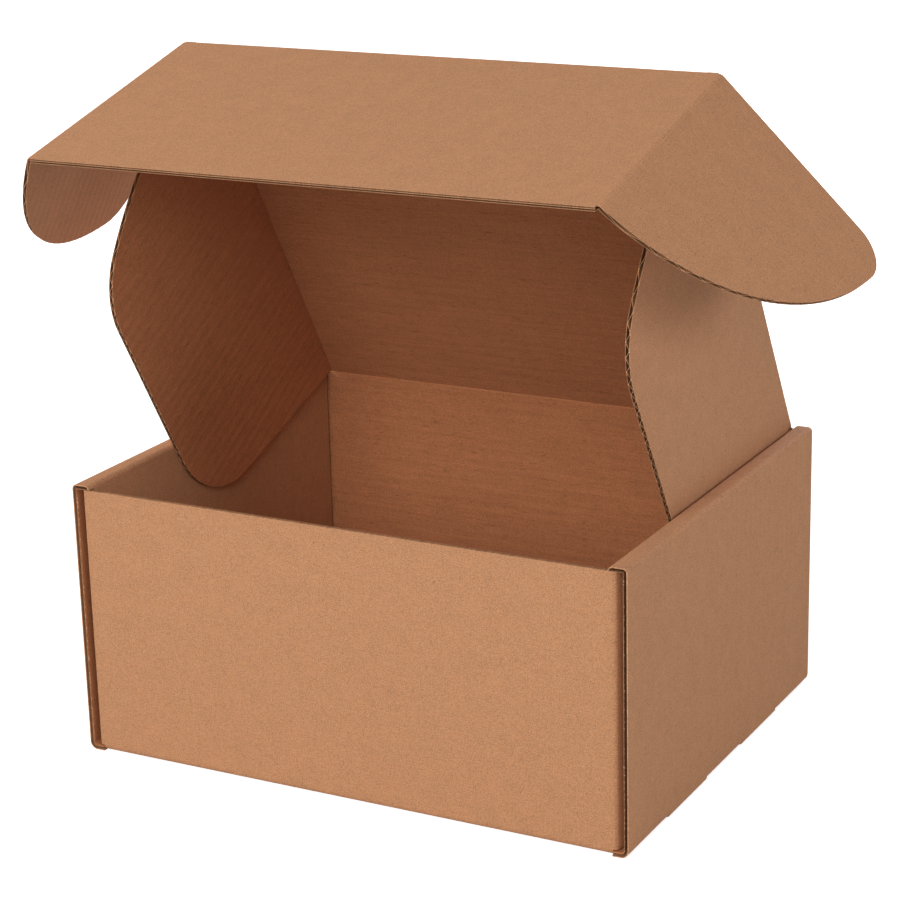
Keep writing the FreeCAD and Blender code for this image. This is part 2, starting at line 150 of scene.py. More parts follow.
class MailerBoxSettings(bpy.types.PropertyGroup):
    """Sizes of the board and levels of the light."""

    board: bpy.props.FloatProperty(
        name="Board",
        description="Thickness of the corrugated board",
        default=2.3 * MM,
        subtype="DISTANCE",
        unit="LENGTH",
    )
    liner: bpy.props.FloatProperty(
        name="Liner",
        description="Thickness of each liner",
        default=0.24 * MM,
        subtype="DISTANCE",
        unit="LENGTH",
    )
    medium: bpy.props.FloatProperty(
        name="Medium",
        description="Thickness of the fluted paper",
        default=0.26 * MM,
        subtype="DISTANCE",
        unit="LENGTH",
    )
    flute: bpy.props.FloatProperty(
        name="Flute",
        description="Length of one flute",
        default=6.35 * MM,
        subtype="DISTANCE",
        unit="LENGTH",
    )
    sag: bpy.props.FloatProperty(
        name="Sag",
        description="How far a liner sinks between flutes",
        default=0.03 * MM,
        subtype="DISTANCE",
        unit="LENGTH",
    )
    washboard: bpy.props.FloatProperty(
        name="Washboard",
        description="How far the inner liner sinks between flutes",
        default=0.09 * MM,
        subtype="DISTANCE",
        unit="LENGTH",
    )
    crush: bpy.props.FloatProperty(
        name="Crush",
        description="Thickness left in the middle of a crease",
        default=0.85,
        min=0.3,
        max=1.0,
    )
    kraft: bpy.props.FloatVectorProperty(
        name="Kraft",
        description="Colour of the liners",
        default=(0.49, 0.238, 0.116),
        size=3,
        subtype="COLOR",
        min=0,
        max=1,
    )
    # Partly the inner liner's own colour, partly painted bounce light: made redder than the kraft for the
    # reddish light thrown about inside the box.
    inside: bpy.props.FloatVectorProperty(
        name="Inside",
        description="Colour of the inner liner",
        default=(0.48, 0.19, 0.081),
        size=3,
        subtype="COLOR",
        min=0,
        max=1,
    )
    # Painted shade: a dark paper colour standing in for the shadow deep in the flutes.
    hollow: bpy.props.FloatVectorProperty(
        name="Hollow",
        description="Colour of the paper deep in the flutes",
        default=(0.22, 0.1, 0.045),
        size=3,
        subtype="COLOR",
        min=0,
        max=1,
    )
    cut: bpy.props.FloatVectorProperty(
        name="Cut",
        description="Colour of the cut edges",
        default=(0.56, 0.28, 0.14),
        size=3,
        subtype="COLOR",
        min=0,
        max=1,
    )
    nick_step: bpy.props.FloatProperty(
        name="Nick step",
        description="Distance between nicks of a cut edge",
        default=3.175 * MM,
        subtype="DISTANCE",
        unit="LENGTH",
    )
    nick_size: bpy.props.FloatProperty(
        name="Nick size",
        description="Radius of a tuft beside a nick",
        default=0.34 * MM,
        subtype="DISTANCE",
        unit="LENGTH",
    )
    light: bpy.props.FloatProperty(
        name="Light",
        description="Power of all lamps together, in watts",
        default=138.0,
        min=0,
    )
    sky: bpy.props.FloatProperty(
        name="Sky",
        description="Brightness of the sky",
        default=0.12,
        min=0,
    )


class Tree:
    """A node tree whose nodes are all added in one way."""

    def __init__(self, tree):
        self.tree = tree

    def add(self, kind, settings, sockets):
        """A node of a type: its settings first, then the values or links of its sockets."""
        node = self.tree.nodes.new(kind)
        for name, value in settings.items():
            setattr(node, name, value)
        return self.feed(node, sockets)

    def feed(self, node, sockets):
        """Values or links for the sockets of a node, by name or number."""
        for name, value in sockets.items():
            if isinstance(value, Field):
                value = value.socket
            if isinstance(value, bpy.types.NodeSocket):
                self.tree.links.new(value, node.inputs[name])
            else:
                node.inputs[name].default_value = value
        return node


class Field:
    """A shader value with ordinary arithmetic, so that formulas read as formulas."""

    def __init__(self, tree, socket):
        self.tree, self.socket = tree, socket

    def math(self, operation, *others):
        sockets = dict(enumerate((self, *others)))
        return Field(self.tree, self.tree.add("ShaderNodeMath", {"operation": operation}, sockets).outputs[0])

    def __add__(self, other):
        return self.math("ADD", other)

    def __sub__(self, other):
        return self.math("SUBTRACT", other)

    def __rsub__(self, other):
        return self.math("MULTIPLY", -1.0).math("ADD", other)

    def __mul__(self, other):
        return self.math("MULTIPLY", other)

    __radd__, __rmul__ = __add__, __mul__


class Bend:
    """A line in a plane with rounded corners, in millimetres, with normals to its right-hand side."""

    def __init__(self, corners, radii):
        corners = [np.array(corner, float) for corner in corners]
        self.pieces = []
        start = corners[0]
        for before, corner, after, radius in zip(corners, corners[1:], corners[2:], radii):
            coming = (corner - before) / np.linalg.norm(corner - before)
            going = (after - corner) / np.linalg.norm(after - corner)
            turn = atan2(coming[0] * going[1] - coming[1] * going[0], float(coming @ going))
            reach = radius * tan(abs(turn) / 2)
            self.pieces.append(("line", start, corner - coming * reach))
            centre = corner - coming * reach + np.sign(turn) * radius * np.array([-coming[1], coming[0]])
            self.pieces.append(("arc", centre, radius, coming, turn))
            start = corner + going * reach
        self.pieces.append(("line", start, corners[-1]))

    def rows(self, arc_steps=6, stops=()):
        """Points, normals and distances along it: its ends, steps on its arcs, stops on its first piece."""
        points, normals, lengths, walked = [], [], [], 0.0
        for number, piece in enumerate(self.pieces):
            if piece[0] == "line":
                span = float(np.linalg.norm(piece[2] - piece[1]))
                along = (piece[2] - piece[1]) / span
                for place in [0.0, *(stops if number == 0 else ()), span]:
                    points.append(piece[1] + along * place)
                    normals.append(np.array([along[1], -along[0]]))
                    lengths.append(walked + place)
                walked += span
            else:
                _, centre, radius, coming, turn = piece
                for step in range(1, arc_steps):
                    angle = turn * step / arc_steps
                    turned = np.array([[cos(angle), -sin(angle)], [sin(angle), cos(angle)]])
                    along = turned @ coming
                    normal = np.array([along[1], -along[0]])
                    points.append(centre + np.sign(turn) * radius * normal)
                    normals.append(normal)
                    lengths.append(walked + radius * abs(angle))
                walked += radius * abs(turn)
        return np.array(points), np.array(normals), np.array(lengths)

    def at(self, distances):
        """Points and normals at distances along the line."""
        points, normals, lengths = self.rows(arc_steps=24)
        column = [np.interp(distances, lengths, values) for values in (*points.T, *normals.T)]
        normal = np.stack(column[2:], axis=1)
        return np.stack(column[:2], axis=1), normal / np.linalg.norm(normal, axis=1, keepdims=True)


class Board:
    """Corrugated board collected into one mesh: two liners and the fluted paper over grids of points."""

    def __init__(self, settings):
        self.half = settings.board / MM / 2
        self.liner = settings.liner / MM
        self.medium = settings.medium / MM
        self.flute = settings.flute / MM
        self.sag = settings.sag / MM
        self.washboard = settings.washboard / MM
        self.crush = settings.crush
        self.points, self.blank, self.crease, self.faces, self.papers, self.count = [], [], [], [], [], 0

    def stations(self, low, high, extras=()):
        """Places across the flutes from low to high, FLUTE_STEPS to a flute, with the extras among them."""
        step = self.flute / FLUTE_STEPS
        marks = np.arange(np.ceil(low / step), np.floor(high / step) + 1) * step
        fixed = np.array([low, high, *(value for value in extras if low < value < high)])
        loose = [mark for mark in marks if np.min(np.abs(fixed - mark)) > NEAREST]
        return np.unique(np.round(np.concatenate([fixed, loose]), 6))

    def lay(self, middle, normal, blank, low, high, cells, papers, crease, joined):
        """One layer between two distances from the middle, closed all round but for its joined columns.
        Its papers are those of its outer face, its inner face and its cut edges."""
        rows, columns = middle.shape[:2]
        top = middle + normal * high[..., None]
        bottom = middle + normal * low[..., None]
        index = np.arange(rows * columns).reshape(rows, columns) + self.count
        under = index + rows * columns
        first_row, first_column = np.argwhere(cells)[0]
        down = top[first_row + 1, first_column] - top[first_row, first_column]
        across = top[first_row, first_column + 1] - top[first_row, first_column]
        upward = np.dot(np.cross(down, across), normal[first_row, first_column]) > 0
        quads = np.stack([index[:-1, :-1], index[1:, :-1], index[1:, 1:], index[:-1, 1:]], axis=-1)[cells]
        faces = [quads, quads[:, ::-1] + rows * columns]
        around = np.pad(cells, 1)
        row_edge = (index[:, :-1], index[:, 1:], under[:, 1:], under[:, :-1])
        column_edge = (index[:-1, :], index[1:, :], under[1:, :], under[:-1, :])
        before, after = around[:-1, 1:-1], around[1:, 1:-1]
        left, right = around[1:-1, :-1], around[1:-1, 1:]
        keep_columns = np.ones_like(left)
        for side, where in joined.items():
            keep_columns[:, 0 if side == "first_column" else -1] &= ~np.broadcast_to(where, rows - 1)
        for edge, chosen, turned in (
            (row_edge, after & ~before, False),
            (row_edge, before & ~after, True),
            (column_edge, right & ~left & keep_columns, True),
            (column_edge, left & ~right & keep_columns, False),
        ):
            rim = np.stack(edge, axis=-1)[chosen]
            faces.append(rim[:, ::-1] if turned else rim)
        faces = np.concatenate(faces)
        self.points += [top.reshape(-1, 3), bottom.reshape(-1, 3)]
        self.blank += [blank.reshape(-1, 2)] * 2
        self.crease += [np.broadcast_to(crease, (rows, columns)).reshape(-1)] * 2
        self.faces.append(faces if upward else faces[:, ::-1])
        self.papers.append(np.repeat(papers, (len(quads), len(quads), len(faces) - 2 * len(quads))))
        self.count += 2 * rows * columns

    def sheet(
        self, middle, normal, blank, cells=None, thin=1.0, tuck=1.0, crease=0.0, joined=None, within=INSIDE_AND_BOUNCE
    ):
        """Board over a grid: normals point to its outer side and blank holds its places on the flat blank.
        Thin crushes it from its inner side, tuck draws both sides to the middle, within is its inner paper,
        and joined names the columns where it goes on from another sheet and has no cut edge."""
        rows, columns = middle.shape[:2]
        cells = np.ones((rows - 1, columns - 1), bool) if cells is None else cells
        joined = joined or {}
        thin = np.broadcast_to(thin, (rows, columns))
        wave = np.sin(2 * pi * blank[..., 1] / self.flute)
        height = (self.half - self.liner - self.medium / 2) * wave
        outer = self.half - self.sag * (0.5 - 0.5 * wave)
        inner = -self.half + self.washboard * (0.5 + 0.5 * wave)
        # The liners' faces towards the flutes and both faces of the medium take the painted shade of the
        # hollows.
        for low, high, papers in (
            (self.half - self.liner, outer, (OUTSIDE, HOLLOW_SHADE, CUT)),
            (height - self.medium / 2, height + self.medium / 2, (HOLLOW_SHADE, HOLLOW_SHADE, CUT)),
            (inner, self.liner - self.half, (HOLLOW_SHADE, within, CUT)),
        ):
            low, high = np.broadcast_to(low, thin.shape), np.broadcast_to(high, thin.shape)
            low, high = (tuck * (self.half - (self.half - value) * thin) for value in (low, high))
            self.lay(middle, normal, blank, low, high, cells, papers, crease, joined)

    def make(self, name, materials, place=None):
        """The mesh object, in metres, moved by a matrix in millimetres."""
        points, blank = np.concatenate(self.points), np.concatenate(self.blank)
        crease, faces = np.concatenate(self.crease), np.concatenate(self.faces)
        used, faces = np.unique(faces, return_inverse=True)
        faces = faces.reshape(-1, 4)
        points, blank, crease = points[used], blank[used], crease[used]
        if place is not None:
            matrix = np.array(place)
            points = points @ matrix[:3, :3].T + matrix[:3, 3]
        mesh = bpy.data.meshes.new(name)
        mesh.from_pydata((points * MM).tolist(), [], faces.tolist())
        for material in materials:
            mesh.materials.append(material)
        mesh.polygons.foreach_set("material_index", np.concatenate(self.papers).astype(np.int32))
        uv = mesh.uv_layers.new(name="blank")
        uv.data.foreach_set("uv", (blank[faces.reshape(-1)] * BLANK_TO_UV).astype(np.float32).reshape(-1))
        # Weights of the creases, for the painted highlight that lightens the paper along them.
        attribute = mesh.attributes.new("crease_highlight", "FLOAT", "POINT")
        attribute.data.foreach_set("value", crease.astype(np.float32))
        mesh.validate()
        mesh.polygons.foreach_set("use_smooth", np.ones(len(mesh.polygons), bool))
        mesh.set_sharp_from_angle(angle=radians(SHARP))
        mesh.update()
        found = bpy.data.objects.new(name, mesh)
        bpy.context.scene.collection.objects.link(found)
        return found


def stack(*values):
    """Numbers and arrays side by side as the last axis of one array."""
    shape = np.broadcast_shapes(*(np.shape(value) for value in values))
    return np.stack([np.broadcast_to(value, shape) for value in values], axis=-1).astype(float)


def plate(board, x_places, y_places, cells):
    """Flat board in the XY plane of a panel: flutes along X, its outer side towards -Z."""
    x, y = np.meshgrid(x_places, y_places)
    board.sheet(stack(x, y, 0.0), stack(0.0 * x, 0.0, -1.0), stack(x, y), cells)


def lid_matrix():
    """From the frame of the lid, +Y away from its hinge and +Z inwards, to the frame of the box."""
    return Matrix.Translation((0, END_Y, HINGE_Z)) @ Matrix.Rotation(radians(180 - LID_OPENING), 4, "X")


def flap_matrix():
    return lid_matrix() @ Matrix.Translation((0, LID_LENGTH, 0)) @ Matrix.Rotation(radians(FLAP_FOLD), 4, "X")


def ear_matrix(side):
    fold = RIGHT_EAR_FOLD if side > 0 else LEFT_EAR_FOLD
    crease = flap_matrix() @ Matrix.Translation((side * EAR_X, 0, 0))
    return crease @ Matrix.Rotation(radians(-side * fold), 4, "Y")


def lay_ends(board):
    """Floor with front and back wall, then the corner tabs that go on from the walls."""
    corners = [(-END_Y, END_TOP), (-END_Y, FLOOR_Z), (END_Y, FLOOR_Z), (END_Y, HINGE_Z - CREASE)]
    line = Bend(corners, [END_FOLD, END_FOLD])
    flat, curve = END_Y - END_FOLD, END_FOLD * pi / 2
    wall = END_TOP - FLOOR_Z - END_FOLD
    middle = wall + curve + flat
    top = flat + curve + HINGE_Z - CREASE - FLOOR_Z - END_FOLD
    marks = [-flat, flat, -flat - curve, flat + curve, -INNER_WALL_Y, INNER_WALL_Y, flat + curve + wall]
    places = board.stations(-middle, top, [*marks, *lock_marks()])
    points, normals = line.at(places + middle)
    columns = np.array([-FOLD_END_X, -SLOT_X[0], -LID_EDGE_X, LID_EDGE_X, SLOT_X[0], FOLD_END_X])
    centres = (places[1:] + places[:-1]) / 2
    cells = np.ones((len(places) - 1, len(columns) - 1), bool)
    on_floor = np.abs(centres) < flat
    cells[on_floor, 0] = cells[on_floor, -1] = False
    above = centres > flat + curve + wall
    cells[above, :2] = cells[above, -2:] = False
    normal = stack(0.0 * columns, normals[:, :1], normals[:, 1:])
    blank = stack(columns, places[:, None] + END_PHASE)
    on_wall = (np.abs(centres) > flat + curve) & (centres < flat + curve + wall)
    joined = {"first_column": on_wall, "last_column": on_wall}
    board.sheet(stack(columns, points[:, :1], points[:, 1:]), normal, blank, cells, joined=joined)
    for end in (-1, 1):
        chosen = places[(end * places > flat + curve - SLACK) & (end * places < flat + curve + wall + SLACK)]
        heights = np.abs(chosen) - flat - curve + FLOOR_Z + END_FOLD
        for side in (-1, 1):
            corners, radii = ((TAB_X, -END_Y),), (TIGHT_FOLD,)
            if (side, end) == (1, -1):
                corners, radii = BULGING_CORNER, BULGING_FOLDS
            corner = Bend([(FOLD_END_X, -END_Y), *corners, (TAB_X, -TAB_END_Y)], radii)
            spots, outward, lengths = corner.rows(arc_steps=6)
            around = stack(side * spots[:, 0], -end * spots[:, 1], heights[:, None])
            facing = stack(side * outward[:, 0], -end * outward[:, 1], 0.0 * heights[:, None])
            blank = stack(side * (FOLD_END_X + lengths), chosen[:, None] + END_PHASE)
            board.sheet(around, facing, blank, joined={"first_column": True})


def lock_marks():
    """Ends of the locking tabs and of their slots along the side wall."""
    marks = []
    for end in (-1, 1):
        for reach in (LOCK_HALF, LOCK_HALF + LOCK_EASE):
            marks += [end * LOCK_Y - reach, end * LOCK_Y + reach]
    return marks


def lay_side(board, side):
    """One side wall: floor margin, outer wall, rolled-over top and inner wall with its locking tabs."""
    extras = [-INNER_WALL_Y, INNER_WALL_Y, END_FOLD - END_Y, END_Y - END_FOLD, *lock_marks()]
    y = board.stations(-SIDE_EDGE_Y, SIDE_EDGE_Y, extras)
    centres = (y[1:] + y[:-1]) / 2
    stops = (FOLD_END_X - SLOT_X[0], SLOT_X[1] - SLOT_X[0])
    outer = [(SLOT_X[0], FLOOR_Z), (WALL_X, FLOOR_Z), (WALL_X, ROOF_Z)]
    corners = [*outer, (INNER_X, ROOF_Z), (INNER_X, TAB_BOTTOM)]
    radii = [SIDE_FOLD, TIGHT_FOLD, TIGHT_FOLD]
    folded, folded_normal, lengths = Bend(corners, radii).rows(arc_steps=7, stops=stops)
    square, square_normal, _ = Bend(corners, [TIGHT_FOLD] * 3).rows(arc_steps=7, stops=stops)
    tail = np.array([[INNER_X, LOCK_BOTTOM]])
    folded, square = np.vstack([folded, tail]), np.vstack([square, tail])
    folded_normal = np.vstack([folded_normal, folded_normal[-1:]])
    square_normal = np.vstack([square_normal, square_normal[-1:]])
    lengths = np.append(lengths, lengths[-1] + TAB_BOTTOM - LOCK_BOTTOM)
    in_foot = (np.abs(np.abs(y) - LOCK_Y) < LOCK_HALF + SLACK)[None, :, None]
    points = np.where(in_foot, square[:, None, :], folded[:, None, :])
    normals = np.where(in_foot, square_normal[:, None, :], folded_normal[:, None, :])
    cells = np.ones((len(folded) - 1, len(y) - 1), bool)
    in_slot = np.abs(np.abs(centres) - LOCK_Y) < LOCK_HALF + LOCK_EASE
    cells[0] = (np.abs(centres) < END_Y - END_FOLD) & ~in_slot
    cells[1] = ~in_slot
    cells[-2] = np.abs(centres) < INNER_WALL_Y
    cells[-1] = np.abs(np.abs(centres) - LOCK_Y) < LOCK_HALF
    middle = stack(side * points[..., 0], y, points[..., 1])
    normal = stack(side * normals[..., 0], 0.0, normals[..., 1])
    board.sheet(middle, normal, stack(side * (SLOT_X[0] + lengths[:, None]), y), cells)


def round_edge(places, circle):
    """Height of a circle's upper edge, given as centre and radius, over places."""
    along, out, radius = circle
    return out + np.sqrt(np.maximum(radius**2 - (places - along) ** 2, 0))


def dust_height(along):
    """Far edge of a dust flap: leaning rear edge, round corner, straight, round corner, arc."""
    start, out, slope = DUST_REAR
    edges = [out + (along - start) * slope, round_edge(along, DUST_REAR_CORNER)]
    edges += [DUST_DEPTH, round_edge(along, DUST_FRONT_CORNER)]
    return np.select([along < end for end in DUST_PARTS], edges, round_edge(along, DUST_ARC))


def ear_reach(along):
    """Outer edge of an ear: round tip, then the long arc."""
    return np.where(along < EAR_TIP_END, round_edge(along, EAR_TIP), round_edge(along, EAR_ARC))


def fold_rows(fold, board):
    """Middle line of a crease from one panel to the next, with its thinning, its tucked ends and the weight
    of its painted highlight.
    """
    reach = CREASE + CREASE_LAND
    corners = [(-reach, 0), (0, 0), (reach * cos(radians(fold)), reach * sin(radians(fold)))]
    line = Bend(corners, [CREASE / tan(radians(fold) / 2)])
    points, normals, lengths = line.rows(arc_steps=8)
    share = np.clip((lengths - CREASE_LAND) / (lengths[-1] - 2 * CREASE_LAND), 0, 1)
    thin = 1 - (1 - board.crush) * np.sin(pi * share) ** 2
    tuck = np.ones(len(lengths))
    tuck[[0, -1]] = 0.95
    return points, normals, lengths, thin[:, None], tuck[:, None], np.sin(pi * share)[:, None]


def kraft_material(name, colour, contrast, streaks):
    """Kraft paper: cloudy pulp, fine speckle, dark and pale flecks, streaks along the flutes, and a painted
    highlight along creases.
    """
    material = bpy.data.materials.new(name)
    material.use_nodes = True
    tree = Tree(material.node_tree)
    place = tree.add("ShaderNodeUVMap", {"uv_map": "blank"}, {}).outputs[0]

    def noise(scale, stretch, detail, offset):
        size, start = (scale * stretch[0], scale * stretch[1], 1), (offset, offset * 0.7, offset)
        sockets = {"Vector": place, "Scale": size, "Location": start}
        moved = tree.add("ShaderNodeMapping", {}, sockets).outputs[0]
        sockets = {"Vector": moved, "Scale": 1.0, "Detail": detail, "Roughness": 0.6}
        texture = tree.add("ShaderNodeTexNoise", {"noise_dimensions": "3D"}, sockets)
        return Field(tree, texture.outputs["Fac"]) - 0.5

    cloud = noise(9.0, (1, 1), 3.0, 3.1)
    pulp = noise(45.0, (1, 1.3), 3.0, 7.7)
    fibre = noise(60.0, (3.2, 0.35), 2.0, 1.3)
    speck = noise(170.0, (1, 1), 1.0, 5.9)
    fleck = noise(75.0, (1.6, 0.6), 1.0, 9.4)
    streak = noise(42.0, (0.07, 1.6), 3.0, 4.3)
    dash = noise(40.0, (0.4, 3.2), 1.0, 8.2)
    value = 1 + contrast * (cloud * 0.18 + pulp * 0.36 + fibre * 0.2 + speck * 1.1)
    value = value - (fleck - 0.2).math("MAXIMUM", 0.0) * 3.0 + (-0.23 - fleck).math("MAXIMUM", 0.0) * 3.0
    value = value + streaks * streak * 0.36 - streaks * (dash - 0.12).math("MAXIMUM", 0.0) * 2.0
    # Painted highlight: the paper is drawn a little lighter along the creases.
    mark = tree.add("ShaderNodeAttribute", {"attribute_name": "crease_highlight"}, {}).outputs["Fac"]
    value = value + Field(tree, mark) * 0.04
    paint = tree.add("ShaderNodeVectorMath", {"operation": "SCALE"}, {0: colour, "Scale": value})
    height = fibre * 0.6 + speck * 0.4 + streaks * streak
    bump = tree.add("ShaderNodeBump", {}, {"Strength": 0.15, "Distance": 0.0002, "Height": height})
    sockets = {"Base Color": paint.outputs[0], "Roughness": 0.86 + pulp * 0.12, "Normal": bump.outputs[0]}
    tree.feed(material.node_tree.nodes["Principled BSDF"], {**sockets, "Specular IOR Level": 0.25})
    return material


def board_materials(settings):
    """The papers of the board, made once: outer liner, painted shade for the hollows of the flutes, inner
    liner with painted bounce light, and cut edges.
    """
    papers = (
        ("kraft_outside", settings.kraft, 1.0, 0.12),
        ("kraft_hollow_shade", settings.hollow, 1.0, 0.0),
        ("kraft_inside_and_bounce", settings.inside, 1.0, 1.0),
        ("kraft_cut", settings.cut, 1.6, 0.0),
    )
    return [
        bpy.data.materials.get(name) or kraft_material(name, tuple(colour), contrast, streaks)
        for name, colour, contrast, streaks in papers
    ]


def add_piece(board, name, body, node, settings, place=None):
    """A finished piece that rides on a body and, where a node is given, stands for that CAD node."""
    piece = board.make(name, board_materials(settings), place)
    if node:
        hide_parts(node)
    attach(piece, body)


class MAILER_OT_tray(bpy.types.Operator):
    """Builds the tray: floor, walls, corner tabs, rolled-over tops and inner walls"""

    bl_idname = "mailer.tray"
    bl_label = "Build Tray"

    def execute(self, context):
        settings = context.scene.mailer_box
        board = Board(settings)
        lay_ends(board)
        add_piece(board, "tray_board", "tray", "tray", settings)
        for name, side in (("left_wall_board", -1), ("right_wall_board", 1)):
            board = Board(settings)
            lay_side(board, side)
            add_piece(board, name, "tray", None, settings)
        return {"FINISHED"}


class MAILER_OT_lid(bpy.types.Operator):
    """Builds the flat panels of the lid: lid, front flap, ears and dust flaps"""

    bl_idname = "mailer.lid"
    bl_label = "Build Lid and Flaps"

    def execute(self, context):
        settings = context.scene.mailer_box
        self.build_lid(settings)
        self.build_front_flap(settings)
        for side in (-1, 1):
            self.build_ear(settings, side)
            self.build_dust_flap(settings, side)
        return {"FINISHED"}

    def build_lid(self, settings):
        board = Board(settings)
        inside = DUST_X - CREASE
        start, end = DUST_SPAN
        x = np.array([-LID_EDGE_X, -inside, inside, HINGE_END_X, LID_EDGE_X])
        y = board.stations(CREASE, LID_LENGTH - CREASE, [start, end])
        cells = np.ones((len(y) - 1, 4), bool)
        centres = (y[1:] + y[:-1]) / 2
        beside = (centres > start) & (centres < end)
        cells[beside, 0] = cells[beside, 2] = cells[centres < end, 3] = False
        plate(board, x, y, cells)
        add_piece(board, "lid_board", "lid", "lid_panel", settings, lid_matrix())

    def build_front_flap(self, settings):
        board = Board(settings)
        inside, edge = LID_EDGE_X, EAR_X - CREASE
        x = np.array([-edge, -inside, inside, edge])
        y = board.stations(*FLAP_SPAN, [CREASE])
        cells = np.ones((len(y) - 1, 3), bool)
        cells[(y[1:] + y[:-1]) / 2 < CREASE, 1] = False
        plate(board, x, y, cells)
        add_piece(board, "front_flap_board", "front_flap", "front_flap", settings, flap_matrix())

    def build_ear(self, settings, side):
        name = "right_ear" if side > 0 else "left_ear"
        board = Board(settings)
        y = board.stations(*EAR_SPAN, EAR_MARKS)[:, None]
        out = CREASE + (ear_reach(y) - CREASE) * np.linspace(0, 1, PANEL_POINTS)
        blank = stack(side * (EAR_X + out), y)
        # The ear's inner face is inner liner too, but out in the open it takes the outer kraft, without the
        # painted bounce light.
        board.sheet(stack(side * out, y, 0.0), stack(0.0 * out, 0.0, -1.0), blank, within=OUTSIDE)
        add_piece(board, f"{name}_board", name, name, settings, ear_matrix(side))

    def build_dust_flap(self, settings, side):
        name = "right_dust_flap" if side > 0 else "left_dust_flap"
        board = Board(settings)
        y = board.stations(*DUST_SPAN, DUST_MARKS)[:, None]
        height = np.maximum(dust_height(y), CREASE + 0.02)
        out = CREASE + (height - CREASE) * np.linspace(0, 1, PANEL_POINTS)
        blank = stack(side * (DUST_X + out), y)
        board.sheet(stack(side * DUST_X, y, out), stack(side + 0.0 * out, 0.0, 0.0), blank)
        add_piece(board, f"{name}_board", name, name, settings, lid_matrix())


class MAILER_OT_creases(bpy.types.Operator):
    """Builds the creases between the moving panels, in the pose they are built in"""

    bl_idname = "mailer.creases"
    bl_label = "Build Creases"

    def execute(self, context):
        settings = context.scene.mailer_box
        lid, flap = lid_matrix(), flap_matrix()
        hinge = Matrix.Translation((0, END_Y, HINGE_Z)) @ Matrix.Rotation(radians(90), 4, "X")
        span, fold = (-LID_EDGE_X + 0.1, HINGE_END_X), 90 - LID_OPENING
        self.across(settings, "hinge_crease", ("tray", "lid"), hinge, fold, span, LID_LENGTH * -1.25)
        front = lid @ Matrix.Translation((0, LID_LENGTH, 0))
        span = (-LID_EDGE_X, LID_EDGE_X)
        self.across(settings, "front_crease", ("lid", "front_flap"), front, FLAP_FOLD, span, LID_LENGTH)
        for side, name, fold in ((-1, "left", LEFT_EAR_FOLD), (1, "right", RIGHT_EAR_FOLD)):
            place = flap @ Matrix.Translation((side * EAR_X, 0, 0))
            bodies = ("front_flap", f"{name}_ear")
            self.beside(settings, f"{name}_ear_crease", bodies, place, fold, side, EAR_SPAN)
            place = lid @ Matrix.Translation((side * DUST_X, 0, 0))
            bodies = ("lid", f"{name}_dust_flap")
            self.beside(settings, f"{name}_dust_crease", bodies, place, 90, side, DUST_SPAN)
        return {"FINISHED"}

    def finish_piece(self, settings, board, name, bodies, place, ends):
        piece = board.make(name, board_materials(settings), place)
        start, end = (place @ Vector(spot) * MM for spot in ends)
        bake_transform(piece)

    def across(self, settings, name, bodies, place, fold, span, offset):
        """A crease along X, with the flutes along it; its paper starts at the offset."""
        board = Board(settings)
        points, normals, lengths, thin, tuck, mark = fold_rows(fold, board)
        x = np.array(span)
        middle = stack(x, points[:, :1], points[:, 1:])
        normal = stack(0.0 * x, normals[:, :1], normals[:, 1:])
        board.sheet(middle, normal, stack(x, lengths[:, None] + offset), thin=thin, tuck=tuck, crease=mark)
        ends = [(0, *points[0]), (0, *points[-1])]
        self.finish_piece(settings, board, name, bodies, place, ends)

    def beside(self, settings, name, bodies, place, fold, side, span):
        """A crease along Y at one side of a panel, with the flutes across it."""
        board = Board(settings)
        points, normals, lengths, thin, tuck, mark = fold_rows(fold, board)
        y = board.stations(*span, [span[0] + 0.2, span[1] - 0.2])
        middle = stack(side * points[:, :1], y, points[:, 1:])
        normal = stack(side * normals[:, :1], 0.0 * y, normals[:, 1:])
        blank = stack(side * (EAR_X + lengths[:, None]), y)
        board.sheet(middle, normal, blank, thin=thin, tuck=tuck, crease=mark)
        ends = [(side * points[0][0], 0, points[0][1]), (side * points[-1][0], 0, points[-1][1])]
        self.finish_piece(settings, board, name, bodies, place, ends)


